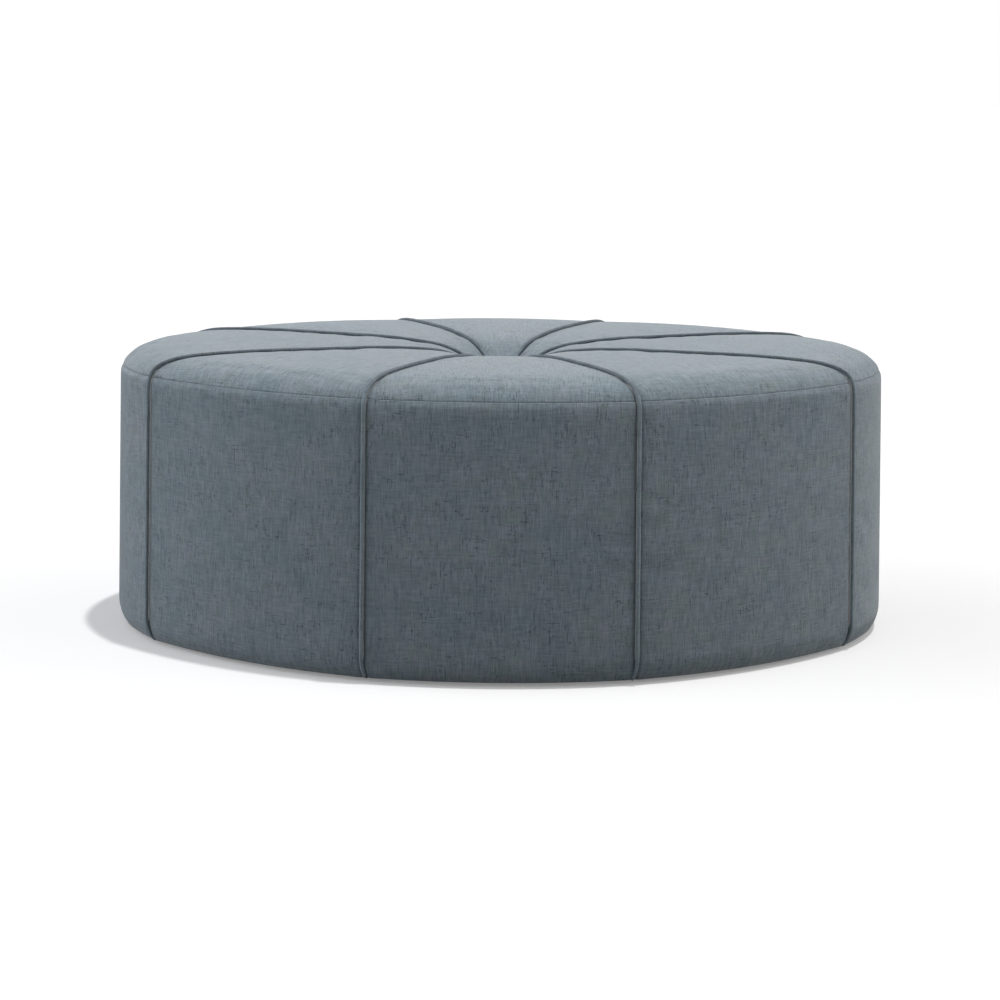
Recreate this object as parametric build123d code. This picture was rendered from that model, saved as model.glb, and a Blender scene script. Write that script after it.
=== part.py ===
from build123d import *
import math
import os

# Oval upholstered ottoman: a board and softwood frame, foam, wadding and a welted fabric cover.
# Origin: centre of the footprint, on the floor. +X along the length, -Y to the front, +Z up.
# All lengths are in millimetres and all angles in degrees.

# Ovals through the welted seams: at the wall's widest level, and where its line meets the level
# of the top seam
foot_length = 1220.0
foot_depth = 813.0
rim_length = 1192.0
rim_depth = 794.5

# Levels above the floor, and drops below the top of the seat
seat_height = 447.0
underside_level = 5.0
top_seam_drop = 33.0
deck_drop = 95.0

# Directions of the welted seams, from the long axis
end_seam_angle = 19.3
front_seam_angle = 62.7

# How far the middle of a panel stands off the oval through the seams
side_panel_flatness = 10.0
end_panel_fullness = 3.5
seat_swell = 2.5

# Seat surface: distance from the centre, depth below the crest, slope
button_ring_radius = 19.0
button_ring_depth = 57.0
button_ring_slope = 52.0
throat_radius = 48.0
throat_depth = 31.5
throat_slope = 31.0
lip_radius = 120.0
lip_depth = 6.5
lip_slope = 6.5
crest_radius = 230.0

# Seat edge: distance in from the wall's line, depth below the crest, slope
shoulder_inset = 68.0
shoulder_depth = 2.5
edge_inset = 28.0
edge_depth = 10.0
edge_slope = 18.5
corner_inset = 9.5
corner_depth = 20.0
corner_slope = 42.5
seam_inset = 2.3
seam_slope = 70.0
brow_drop = 14.5

# Foot of the wall, where the cover draws in and turns under
foot_radius = 60.0
foot_slope = 30.0
turn_radius = 8.0
flap_inset = 66.0
welt_end_inset = 32.0

# Layers from the outside in
cover_thickness = 2.0
wadding_thickness = 8.0
side_foam_thickness = 12.0
wall_board_thickness = 3.0
layer_clearance = 0.3
welt_radius = 2.6

# Boards, posts and rails
deck_board_thickness = 15.0
base_board_thickness = 18.0
access_hole_radius = 55.0
vent_hole_radius = 40.0
vent_hole_offset = 330.0
post_width = 45.0
post_inset = 4.2
rail_length = 860.0
rail_width = 30.0
rail_height = 60.0
rail_offset = 115.0

# Tufting
button_radius = 20.0
button_rim_height = 3.0
button_crown = 6.0
twine_radius = 1.5
twine_clearance = 0.5
washer_radius = 22.0
washer_thickness = 6.0
knot_radius = 4.5

# Screws
screw_head_radius = 4.2
screw_head_height = 4.0
screw_shank_radius = 2.2
screw_length = 50.0
rail_screw_offset = 350.0
screw_clearance = 0.1

# Underside
dust_cover_thickness = 0.8
dust_cover_inset = 36.0
glide_radius = 14.0
glide_edge_radius = 1.5
glide_boss_radius = 6.0
glide_inset = 92.0
nail_radius = 1.4
nail_head_radius = 3.5
nail_head_height = 1.2
nail_length = 18.0
nail_recess = 1.0
hole_clearance = 0.2

# Staples
staple_crown = 11.0
staple_leg = 9.0
staple_wire = 0.8
staple_clearance = 0.1
cover_staple_inset = 52.0
dust_staple_inset = 42.0
cover_staple_shares = (0.2, 0.5, 0.8)
dust_staple_shares = (0.12, 0.37, 0.63, 0.88)

# Depths and levels that follow from the sizes
top_seam_level = seat_height - top_seam_drop
brow_level = top_seam_level - brow_drop
deck_level = seat_height - deck_drop
wadding_depth = cover_thickness + layer_clearance
foam_depth = wadding_depth + wadding_thickness + layer_clearance
wall_board_depth = foam_depth + side_foam_thickness + layer_clearance
frame_depth = wall_board_depth + wall_board_thickness + layer_clearance
welt_depth = cover_thickness - welt_radius
seam_gap = welt_radius + layer_clearance
foot_sine = math.sin(math.radians(foot_slope))
widest_level = underside_level + foot_radius * foot_sine + turn_radius * (1 - foot_sine)
base_bottom = underside_level + cover_thickness + layer_clearance
base_top = base_bottom + base_board_thickness
deck_bottom = deck_level - deck_board_thickness
dust_cover_top = underside_level - staple_wire
dust_cover_bottom = dust_cover_top - dust_cover_thickness
button_ring_level = seat_height - seat_swell - button_ring_depth

# Start, end and fullness of the front panel, the right-hand side panel and the right end panel
spans = (
    (front_seam_angle - 180, -front_seam_angle, 0),
    (-front_seam_angle, -end_seam_angle, -side_panel_flatness),
    (-end_seam_angle, end_seam_angle, end_panel_fullness),
)

# Directions of the seams by the side that they are on and the end of that side
seams = {
    "front_left": front_seam_angle - 180,
    "front_right": -front_seam_angle,
    "right_front": -end_seam_angle,
    "right_back": end_seam_angle,
    "back_right": front_seam_angle,
    "back_left": 180 - front_seam_angle,
    "left_back": 180 - end_seam_angle,
    "left_front": end_seam_angle - 180,
}

on_bottom = (Align.CENTER, Align.CENTER, Align.MIN)
on_top = (Align.CENTER, Align.CENTER, Align.MAX)


def inward(slope):
    """Direction in a section, square to a surface of a slope and into the ottoman."""
    return math.sin(math.radians(slope)), -math.cos(math.radians(slope))


def sink(node, depth):
    """The node of a profile, moved square to the surface by a depth."""
    across, up = inward(node[2])
    return node[0] + depth * across, node[1] + depth * up, node[2]


def sink_all(nodes, depth):
    return [sink(node, depth) for node in nodes]


def turn(node, radius, end_slope):
    """The node at the end of an arc that turns down and inwards from a node."""
    start_across, start_up = inward(node[2])
    end_across, end_up = inward(end_slope)
    across = node[0] + radius * (start_across - end_across)
    up = node[1] + radius * (start_up - end_up)
    return across, up, end_slope


def oval_reach(angle, side, length, depth):
    """Distance along a vertical plane at an angle, moved sideways, to the edge of an oval."""
    half_length = length / 2
    half_depth = depth / 2
    cosine = math.cos(math.radians(angle))
    sine = math.sin(math.radians(angle))
    square = (cosine / half_length) ** 2 + (sine / half_depth) ** 2
    middle = side * cosine * sine * (half_depth**-2 - half_length**-2)
    rest = (side * sine / half_length) ** 2 + (side * cosine / half_depth) ** 2 - 1
    return (math.sqrt(middle**2 - square * rest) - middle) / square


class Section:
    """A vertical plane through the ottoman, at the edge or the middle of a cover panel."""

    def __init__(self, angle, side=0, fullness=0, swell=0):
        self.angle = angle
        self.side = side
        self.swell = swell
        self.rim = oval_reach(angle, side, rim_length, rim_depth) + fullness
        self.foot = oval_reach(angle, side, foot_length, foot_depth) + fullness
        lean = math.atan2(self.foot - self.rim, top_seam_level - widest_level)
        self.wall_slope = math.degrees(lean) - 90

    def point(self, across, up):
        """The point in space of a place in the section."""
        cosine = math.cos(math.radians(self.angle))
        sine = math.sin(math.radians(self.angle))
        return Vector(across * cosine - self.side * sine, across * sine + self.side * cosine, up)

    def way(self, slope):
        """The direction in space of a slope in the section."""
        level = math.cos(math.radians(slope))
        cosine = math.cos(math.radians(self.angle))
        sine = math.sin(math.radians(self.angle))
        return Vector(level * cosine, level * sine, math.sin(math.radians(slope)))

    def wall_node(self, level, depth=0):
        """The node at a level of a layer's straight wall."""
        down_share = (top_seam_level - level) / (top_seam_level - widest_level)
        across = self.rim + (self.foot - self.rim) * down_share - depth
        return across, level, self.wall_slope

    def at_radius(self, radius):
        """Distance along the section to a radius from the centre line."""
        return math.sqrt(radius**2 - self.side**2)

    def seat_nodes(self):
        """Nodes of the seat surface, from the button ring out to the top seam."""
        seam_crest = seat_height - seat_swell
        crest = seam_crest + self.swell
        shoulder = self.rim - shoulder_inset
        shoulder_slope = math.degrees(2 * math.atan2(shoulder_depth, shoulder - crest_radius))
        return [
            (self.at_radius(button_ring_radius), button_ring_level, button_ring_slope),
            (self.at_radius(throat_radius), seam_crest - throat_depth, throat_slope),
            (self.at_radius(lip_radius), crest - lip_depth, lip_slope),
            (self.at_radius(crest_radius), crest, 0),
            (shoulder, crest - shoulder_depth, -shoulder_slope),
            (self.rim - edge_inset, crest - edge_depth, -edge_slope),
            (self.rim - corner_inset, seam_crest - corner_depth, -corner_slope),
            self.seam_node(0),
        ]

    def seam_node(self, drop):
        """The node at a drop below the top seam, where the cover rounds on to the wall."""
        return self.rim - seam_inset, top_seam_level - drop, -seam_slope

    def side_nodes(self):
        """Nodes of the side cover, from below the top seam down to where it turns under."""
        return [self.seam_node(layer_clearance)] + self.wall_nodes(brow_level)

    def wall_nodes(self, top_level):
        """Nodes of the wall surface, from a level down to where it turns under."""
        drawn_in = turn((self.foot, 0, self.wall_slope), foot_radius, -90 - foot_slope)
        turned = turn(drawn_in, turn_radius, -180)
        widest = (self.foot, underside_level - turned[1], self.wall_slope)
        return [self.wall_node(top_level), widest, turn(widest, foot_radius, -90 - foot_slope)]

    def flap_nodes(self, inset):
        """Nodes of the cover under the base, in to an inset from the wall's foot."""
        turned = turn(self.wall_nodes(brow_level)[-1], turn_radius, -180)
        return [turned, (self.foot - inset, turned[1], -180)]


def joining_edges(section, start, end):
    """The line, or the two arcs that meet smoothly, from one node of a profile to the next."""
    first = section.point(start[0], start[1])
    last = section.point(end[0], end[1])
    leaving = section.way(start[2])
    arriving = section.way(end[2])
    bend = 1 - leaving.dot(arriving)
    if start[2] == end[2]:
        return [Edge.make_line(first, last)]
    chord = last - first
    along = chord.dot(leaving + arriving)
    handle = (math.sqrt(along**2 + 2 * bend * chord.dot(chord)) - along) / (2 * bend)
    meeting = (first + leaving * handle + last - arriving * handle) / 2
    return [
        Edge.make_tangent_arc(first, leaving, meeting),
        Edge.make_tangent_arc(last, arriving * -1, meeting),
    ]


def profile_edges(section, nodes):
    edges = []
    for start, end in zip(nodes, nodes[1:]):
        edges += joining_edges(section, start, end)
    return edges


def rounded_wire(section, outer, inner):
    """A cover's outer profile and inner profile, closed by a line at each end."""
    edges = profile_edges(section, outer) + profile_edges(section, inner)
    for outer_end, inner_end in ((outer[0], inner[0]), (outer[-1], inner[-1])):
        first = section.point(outer_end[0], outer_end[1])
        edges.append(Edge.make_line(first, section.point(inner_end[0], inner_end[1])))
    return Wire(edges)


def straight_wire(section, outer, inner):
    """A hidden layer's outline, with a straight line from each node to the next."""
    nodes = outer + inner[::-1]
    return Wire.make_polygon([section.point(node[0], node[1]) for node in nodes])


def middle_angle(start_angle, end_angle):
    """Direction of the middle of the chord between two seams."""
    across = 0
    along = 0
    for angle in (start_angle, end_angle):
        reach = oval_reach(angle, 0, rim_length, rim_depth)
        across += reach * math.cos(math.radians(angle))
        along += reach * math.sin(math.radians(angle))
    return math.degrees(math.atan2(along, across))


def panel_sections(start_angle, end_angle, fullness, gap):
    """The sections at the two edges and the middle of a panel, a gap inside its seams."""
    middle = middle_angle(start_angle, end_angle)
    return [
        Section(start_angle, gap),
        Section(middle, 0, fullness, seat_swell),
        Section(end_angle, -gap),
    ]


def all_round(front, side, end):
    """The eight copies of the front, right-hand side and right end pieces, by place."""
    back_side = side.mirror(Plane.XZ)
    return {
        "front_left": side.mirror(Plane.YZ),
        "front": front,
        "front_right": side,
        "right_end": end,
        "back_right": back_side,
        "back": front.mirror(Plane.XZ),
        "back_left": back_side.mirror(Plane.YZ),
        "left_end": end.mirror(Plane.YZ),
    }


def layer(profiles, wire, gap=0):
    """The eight pieces of a layer, lofted through the wires of its profiles, by place."""
    pieces = []
    for span in spans:
        sections = panel_sections(*span, gap)
        pieces.append(Solid.make_loft([wire(section, *profiles(section)) for section in sections]))
    return all_round(*pieces)


def joined(pieces):
    """One solid from pieces of a layer that lie side by side."""
    return pieces[0].fuse(*pieces[1:], glue=True)


def halves(pieces):
    """The front and back halves of a layer, which meet on two of the posts."""
    names = list(pieces)
    front = joined([pieces[name] for name in names[:4]])
    back = joined([pieces[name] for name in names[4:]])
    return front, back


def top_panel_profiles(section):
    nodes = section.seat_nodes()
    return nodes, sink_all(nodes, cover_thickness)


def side_panel_profiles(section):
    nodes = section.side_nodes() + section.flap_nodes(flap_inset)
    return nodes, sink_all(nodes, cover_thickness)


def top_wadding_profiles(section):
    nodes = section.seat_nodes()
    return sink_all(nodes, wadding_depth), sink_all(nodes, wadding_depth + wadding_thickness)


def side_wadding_profiles(section):
    nodes = section.side_nodes()
    return sink_all(nodes, wadding_depth), sink_all(nodes, wadding_depth + wadding_thickness)


def seat_foam_profiles(section):
    """Foam with the seat's shape on a flat bottom that rests on the deck."""
    outer = sink_all(section.seat_nodes() + [section.wall_node(brow_level)], foam_depth)
    bottom = deck_level + layer_clearance
    rim = section.wall_node(bottom, foam_depth)
    return outer, [(outer[0][0], bottom, 0), (rim[0], bottom, 0)]


def side_foam_profiles(section):
    """Foam that follows the cover outside and the straight wall board inside."""
    outer = sink_all(section.wall_nodes(deck_level), foam_depth)
    depth = foam_depth + side_foam_thickness
    return outer, [section.wall_node(deck_level, depth), section.wall_node(outer[-1][1], depth)]


def wall_board_profiles(section):
    depth = wall_board_depth + wall_board_thickness
    outer = [section.wall_node(level, wall_board_depth) for level in (deck_level, base_bottom)]
    return outer, [section.wall_node(level, depth) for level in (deck_level, base_bottom)]


def outline_edge(span, level, depth):
    """The edge of a flat board over one panel, at the wall's level less a depth."""
    points = []
    for section in panel_sections(*span, 0):
        points.append(section.point(section.wall_node(level, depth)[0], 0))
    start, middle, end = points
    before_share = (middle - start).length / ((middle - start).length + (end - middle).length)
    after_share = 1 - before_share
    pull = middle - start * after_share**2 - end * before_share**2
    return Edge.make_bezier(start, pull / (2 * before_share * after_share), end)


def oval_board(level, depth, bottom, thickness):
    """A flat board with the wall's outline at a level, less a depth."""
    edges = all_round(*[outline_edge(span, level, depth) for span in spans])
    face = Face(Wire(list(edges.values()))).moved(Pos(0, 0, bottom))
    return Solid.extrude(face, Vector(0, 0, thickness))


def upright(radius, bottom, top):
    """A round bar on the centre line, from one level to another."""
    return Pos(0, 0, bottom) * Cylinder(radius, top - bottom, align=on_bottom)


def welt(section):
    """Fabric-covered cord laid in the groove between two panels."""
    nodes = section.seat_nodes() + section.wall_nodes(brow_level)
    nodes += section.flap_nodes(welt_end_inset)
    path = Wire(profile_edges(section, sink_all(nodes, welt_depth)))
    start = sink(nodes[0], welt_depth)
    plane = Plane(origin=section.point(start[0], start[1]), z_dir=section.way(start[2]))
    return sweep(plane * Circle(welt_radius), path=path)


def post_centre(section):
    """The middle of a post that stands square to the wall, clear of its narrower end."""
    angle = math.radians(section.angle)
    square = math.atan2(math.sin(angle) / rim_depth**2, math.cos(angle) / rim_length**2)
    reach = min(section.wall_node(level, frame_depth)[0] for level in (deck_bottom, base_top))
    face = section.point(reach, 0)
    inset = post_inset + post_width / 2
    centre = face - Vector(math.cos(square), math.sin(square), 0) * inset
    return Pos(centre.X, centre.Y, 0) * Rot(0, 0, math.degrees(square))


def screw(clearance):
    """A countersunk screw that points down, with its head's top on the origin."""
    head = Cone(
        screw_shank_radius + clearance,
        screw_head_radius + clearance,
        screw_head_height,
        align=on_top,
    )
    return head + Cylinder(screw_shank_radius + clearance, screw_length, align=on_top)


def rail(side):
    """A stiffening rail under the deck."""
    middle = Pos(0, side * rail_offset, deck_bottom)
    return middle * Box(rail_length, rail_width, rail_height, align=on_top)


def center_button():
    """A domed button covered in the fabric, which bears on the ends of the welts."""
    ring = sink((button_ring_radius, button_ring_level, button_ring_slope), welt_depth - welt_radius)
    rise = (button_radius - ring[0]) * math.tan(math.radians(button_ring_slope))
    bottom = ring[1] + rise + layer_clearance
    rim = bottom + button_rim_height
    apex = Vector(0, 0, rim + button_crown)
    edges = [
        Edge.make_line((0, 0, bottom), (button_radius, 0, bottom)),
        Edge.make_line((button_radius, 0, bottom), (button_radius, 0, rim)),
        Edge.make_tangent_arc(apex, Vector(1, 0, 0), Vector(button_radius, 0, rim)),
        Edge.make_line(apex, (0, 0, bottom)),
    ]
    return revolve(Face(Wire(edges)), axis=Axis.Z), bottom


def tuft_twine(button_bottom):
    """Twine from the button through foam and deck, knotted under its washer."""
    knot_level = deck_bottom - washer_thickness - knot_radius
    knot = Pos(0, 0, knot_level) * Sphere(knot_radius)
    return upright(twine_radius, knot_level, button_bottom) + knot


def twine_washer():
    bottom = deck_bottom - washer_thickness
    hole = upright(twine_radius + twine_clearance, bottom, deck_bottom)
    return upright(washer_radius, bottom, deck_bottom) - hole


def glide_nail(clearance):
    """A nail up through a glide into the base board, or with a clearance its hole."""
    head_top = nail_recess + nail_head_height + clearance
    head = upright(nail_head_radius + clearance, nail_recess, head_top)
    return head + upright(nail_radius + clearance, 0, nail_recess + nail_length + clearance)


def glide():
    """A nylon disc with a boss that passes the dust cover and meets the base board."""
    disc = upright(glide_radius, 0, dust_cover_bottom)
    disc = fillet(disc.edges().group_by(Axis.Z)[0], glide_edge_radius)
    recess = upright(nail_head_radius + hole_clearance, 0, nail_recess)
    return disc + upright(glide_boss_radius, 0, base_bottom) - recess - glide_nail(hole_clearance)


def staple_legs(clearance):
    """The two legs of a staple, which stand on the underside that its crown holds."""
    legs = []
    width = staple_wire + 2 * clearance
    for side in (-1, 1):
        offset = side * (staple_crown - staple_wire) / 2
        leg = Box(width, width, staple_leg + 2 * clearance, align=on_bottom)
        legs.append(Pos(offset, 0, -clearance) * leg)
    return legs[0] + legs[1]


def staple():
    crown = Box(staple_crown, staple_wire, staple_wire, align=on_top)
    return crown + staple_legs(0)


def staple_row(item, inset, level, shares):
    """Copies of an item along the underside of each panel, by the panel's place."""
    rows = []
    for span in spans:
        edge = outline_edge(span, widest_level, inset)
        row = []
        for share in shares:
            place = edge.position_at(share) + Vector(0, 0, level)
            row.append(Plane(origin=place, x_dir=edge.tangent_at(share)) * item)
        rows.append(Compound(children=row))
    return all_round(*rows)


def at_each(places, item):
    """A list of copies of an item, one at each place."""
    return [place * item for place in places]


def cut(piece, tools):
    """A piece with tools cut from it."""
    return piece.cut(*tools)


def group(items):
    """Like pieces that share a node, as separate solids."""
    return Compound(children=[solid for item in items for solid in item.solids()])


seam_sections = {name: Section(angle) for name, angle in seams.items()}
post_places = {name: post_centre(section) for name, section in seam_sections.items()}
glide_places = []
for section in seam_sections.values():
    place = section.point(section.foot - glide_inset, 0)
    glide_places.append(Pos(place.X, place.Y, 0))
rail_screw_places = []
for end in (-1, 1):
    for side in (-1, 1):
        rail_screw_places.append(Pos(end * rail_screw_offset, side * rail_offset, deck_level))
deck_screw_places = [Pos(0, 0, deck_level) * place for place in post_places.values()]
upturned = Pos(0, 0, base_bottom) * Rot(180, 0, 0)
base_screw_places = [place * upturned for place in post_places.values()]
screw_places = deck_screw_places + base_screw_places + rail_screw_places
screw_holes = at_each(screw_places, screw(screw_clearance))

cover_staples = staple_row(staple(), cover_staple_inset, underside_level, cover_staple_shares)
dust_staples = staple_row(staple(), dust_staple_inset, dust_cover_bottom, dust_staple_shares)
legs = staple_legs(staple_clearance)
cover_leg_holes = staple_row(legs, cover_staple_inset, underside_level, cover_staple_shares)
dust_leg_holes = staple_row(legs, dust_staple_inset, dust_cover_bottom, dust_staple_shares)

nodes = {}

# Cover: eight top panels, eight side panels and the welts between them
for name, panel in layer(top_panel_profiles, rounded_wire, seam_gap).items():
    nodes["top_panel_" + name] = panel
for name, panel in layer(side_panel_profiles, rounded_wire, seam_gap).items():
    holes = cover_leg_holes[name].solids() + dust_leg_holes[name].solids()
    nodes["side_panel_" + name] = cut(panel, holes)
for name, section in seam_sections.items():
    nodes["welt_" + name] = welt(section)

# Wadding and foam
nodes["top_wadding"] = joined(list(layer(top_wadding_profiles, straight_wire).values()))
nodes["seat_foam"] = joined(list(layer(seat_foam_profiles, straight_wire).values()))
for kind, profiles in (("side_wadding", side_wadding_profiles),
                       ("side_foam", side_foam_profiles),
                       ("wall_board", wall_board_profiles)):
    nodes[kind + "_front"], nodes[kind + "_back"] = halves(layer(profiles, straight_wire))

# Frame
deck = oval_board(deck_level, frame_depth, deck_bottom, deck_board_thickness)
twine_hole = upright(twine_radius + twine_clearance, deck_bottom, deck_level)
nodes["deck_board"] = cut(deck, screw_holes + [twine_hole])
base = oval_board(base_top, frame_depth, base_bottom, base_board_thickness)
vent = upright(vent_hole_radius, base_bottom, base_top)
hand_holes = [upright(access_hole_radius, base_bottom, base_top)]
hand_holes += [Pos(side * vent_hole_offset, 0, 0) * vent for side in (-1, 1)]
nail_holes = at_each(glide_places, glide_nail(hole_clearance))
leg_holes = []
for row in list(cover_leg_holes.values()) + list(dust_leg_holes.values()):
    leg_holes += row.solids()
nodes["base_board"] = cut(base, screw_holes + hand_holes + nail_holes + leg_holes)
post = Pos(0, 0, base_top) * Box(post_width, post_width, deck_bottom - base_top, align=on_bottom)
for name, place in post_places.items():
    nodes["post_" + name] = cut(place * post, screw_holes)
nodes["deck_rail_front"] = cut(rail(-1), screw_holes)
nodes["deck_rail_back"] = cut(rail(1), screw_holes)
nodes["frame_screws"] = group(at_each(screw_places, screw(0)))

# Tuft
nodes["center_button"], button_bottom = center_button()
nodes["tuft_twine"] = tuft_twine(button_bottom)
nodes["twine_washer"] = twine_washer()

# Underside
dust_cover = oval_board(widest_level, dust_cover_inset, dust_cover_bottom, dust_cover_thickness)
boss_hole = upright(glide_boss_radius + hole_clearance, dust_cover_bottom, dust_cover_top)
dust_legs = [leg for row in dust_leg_holes.values() for leg in row.solids()]
nodes["dust_cover"] = cut(dust_cover, at_each(glide_places, boss_hole) + dust_legs)
nodes["glides"] = group(at_each(glide_places, glide()))
nodes["glide_nails"] = group(at_each(glide_places, glide_nail(0)))
nodes["cover_staples"] = group(cover_staples.values())
nodes["dust_cover_staples"] = group(dust_staples.values())

os.makedirs("parts", exist_ok=True)
for name, node in nodes.items():
    export_step(node, f"parts/{name}.step")
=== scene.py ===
import math

import bpy
import numpy as np
from mathutils import Matrix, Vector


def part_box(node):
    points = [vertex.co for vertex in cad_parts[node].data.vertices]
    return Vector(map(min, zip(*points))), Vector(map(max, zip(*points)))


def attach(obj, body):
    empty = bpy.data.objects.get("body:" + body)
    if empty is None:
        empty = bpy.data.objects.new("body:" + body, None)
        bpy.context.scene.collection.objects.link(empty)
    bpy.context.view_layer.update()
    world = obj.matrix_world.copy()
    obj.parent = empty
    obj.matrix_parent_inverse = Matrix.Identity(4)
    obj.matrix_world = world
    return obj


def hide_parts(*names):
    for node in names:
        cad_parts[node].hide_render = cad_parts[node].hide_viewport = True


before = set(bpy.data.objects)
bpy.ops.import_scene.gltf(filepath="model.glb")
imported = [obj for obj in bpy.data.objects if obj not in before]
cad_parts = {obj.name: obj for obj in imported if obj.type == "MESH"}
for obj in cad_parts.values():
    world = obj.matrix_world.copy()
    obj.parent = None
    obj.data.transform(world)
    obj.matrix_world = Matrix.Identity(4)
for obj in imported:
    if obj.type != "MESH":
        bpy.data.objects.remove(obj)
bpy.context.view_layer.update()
scene = bpy.context.scene

# Boards: birch plywood deck and base, 15 and 18 mm, sawn to the oval and drilled for air.
# The faces show the flame of the outer veneer and the sawn edges show the stacked plies.
plywood_pale = (0.60, 0.44, 0.27)
plywood_dark = (0.42, 0.27, 0.14)
ply_thickness = 0.0014
veneer_flame_length = 0.30
veneer_flame_width = 0.035
veneer_pore_length = 0.02
veneer_pore_width = 0.0008
veneer_relief = 0.0003


class Value:
    """A number, a colour, a place or a mesh, as it leaves one of a tree's nodes."""

    def __init__(self, owner, socket):
        self.owner = owner
        self.socket = socket

    def maths(self, operation, *numbers):
        """What a Math node makes of one or two numbers."""
        return self.owner.add("ShaderNodeMath", {"operation": operation}, dict(enumerate(numbers)))

    def __add__(self, other):
        return self.maths("ADD", self, other)

    def __radd__(self, other):
        return self.maths("ADD", other, self)

    def __sub__(self, other):
        return self.maths("SUBTRACT", self, other)

    def __rsub__(self, other):
        return self.maths("SUBTRACT", other, self)

    def __mul__(self, other):
        return self.maths("MULTIPLY", self, other)

    def __rmul__(self, other):
        return self.maths("MULTIPLY", other, self)

    def __truediv__(self, other):
        return self.maths("DIVIDE", self, other)

    def at_least(self, other):
        """The number or the other one, whichever is larger."""
        return self.maths("MAXIMUM", self, other)

    def whole(self):
        """The whole number at or below the number."""
        return self.maths("FLOOR", self)

    def size(self):
        """The number without its sign."""
        return self.maths("ABSOLUTE", self)

    def ridges(self, pitch):
        """0 at each pitch of a measure and 1 half-way between two of them, round as a thread."""
        return self.maths("SINE", self * (math.pi / pitch)).size()

    def between(self, low, high):
        """0 at the low value and below it, 1 at the high value and above it, smooth between."""
        settings = {"interpolation_type": "SMOOTHSTEP"}
        values = {"Value": self, "From Min": low, "From Max": high}
        return self.owner.add("ShaderNodeMapRange", settings, values)


class Tree:
    """A tree of nodes that works out a surface, a mesh or the room's light."""

    def __init__(self, tree):
        self.tree = tree

    def feed(self, socket, value):
        """Links a value to a socket, or sets a number or a colour on the socket itself."""
        if isinstance(value, Value):
            self.tree.links.new(value.socket, socket)
        elif isinstance(value, tuple):
            socket.default_value = (*value, 1)
        else:
            socket.default_value = value

    def add(self, kind, settings=(), values=(), output=0):
        """A node with its settings, then its sockets' values or links, as one of its outputs."""
        node = self.tree.nodes.new(kind)
        for setting, value in dict(settings).items():
            setattr(node, setting, value)
        for socket, value in dict(values).items():
            self.feed(node.inputs[socket], value)
        return Value(self, node.outputs[output])

    def axes(self, vector):
        """The three numbers of a vector."""
        parts = self.add("ShaderNodeSeparateXYZ", {}, {"Vector": vector}).socket.node
        return [Value(self, parts.outputs[axis]) for axis in range(3)]

    def vector(self, x, y, z):
        return self.add("ShaderNodeCombineXYZ", {}, {"X": x, "Y": y, "Z": z})

    def noise(self, x, y, z, detail, roughness=0.5, distortion=0.0):
        """Smooth noise about 0.5, with a grain of one unit along each of its coordinates."""
        values = {"Vector": self.vector(x, y, z), "Scale": 1.0, "Detail": detail}
        values.update({"Roughness": roughness, "Distortion": distortion})
        return self.add("ShaderNodeTexNoise", {}, values)

    def mix(self, share, first, second):
        """A colour between two, by a share. The node's sockets for colours go by number."""
        return self.add("ShaderNodeMix", {"data_type": "RGBA"}, {0: share, 6: first, 7: second}, 2)

    def shown(self):
        """1 for rays that show a thing to the camera or in a gloss, 0 for those that light it."""
        seen = self.add("ShaderNodeLightPath", output="Is Camera Ray")
        return seen.at_least(self.add("ShaderNodeLightPath", output="Is Glossy Ray"))


class Finish(Tree):
    """A surface finish: one material, and the nodes that work out how it changes."""

    def __init__(self, name, **constants):
        self.material = bpy.data.materials.new(name)
        self.material.use_nodes = True
        super().__init__(self.material.node_tree)
        self.surface = self.tree.nodes["Principled BSDF"].inputs
        for socket, value in constants.items():
            self.feed(self.surface[socket.replace("_", " ").title()], value)

    def object_place(self):
        """The three coordinates of a point of the piece, in metres."""
        return self.axes(self.add("ShaderNodeTexCoord", output="Object"))

    def speckle(self, size, detail, roughness=0.5, distortion=0.0):
        """Noise of one size in every direction."""
        x, y, z = self.object_place()
        return self.noise(x / size, y / size, z / size, detail, roughness, distortion)

    def colour(self, value):
        self.feed(self.surface["Base Color"], value)

    def roughness(self, value):
        self.feed(self.surface["Roughness"], value)

    def relief(self, height, depth):
        """Bumps of a depth in metres where the height goes from 0 to 1."""
        bump = self.add("ShaderNodeBump", {}, {"Distance": depth, "Height": height})
        self.feed(self.surface["Normal"], bump)

    def put_on(self, *nodes):
        """Gives the finish to nodes of the frame."""
        for name in nodes:
            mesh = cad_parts[name].data
            mesh.materials.clear()
            mesh.materials.append(self.material)


plywood = Finish("birch_plywood")
x, y, z = plywood.object_place()
flame = plywood.noise(x / veneer_flame_length, y / veneer_flame_width, 0.0, 6.0, 0.6, 0.4)
pores = plywood.noise(x / veneer_pore_length, y / veneer_pore_width, 0.0, 2.0)
upright = plywood.axes(plywood.add("ShaderNodeNewGeometry", output="Normal"))[2]
on_edge = 1 - upright.size().between(0.4, 0.6)
grain = flame * 0.7 + pores * 0.3
shade = grain + (z.ridges(ply_thickness) - grain) * on_edge
plywood.colour(plywood.mix(shade.between(0.3, 0.7), plywood_dark, plywood_pale))
plywood.roughness(0.75 - shade * 0.2)
plywood.relief(shade, veneer_relief)
plywood.put_on("deck_board", "base_board")

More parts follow.
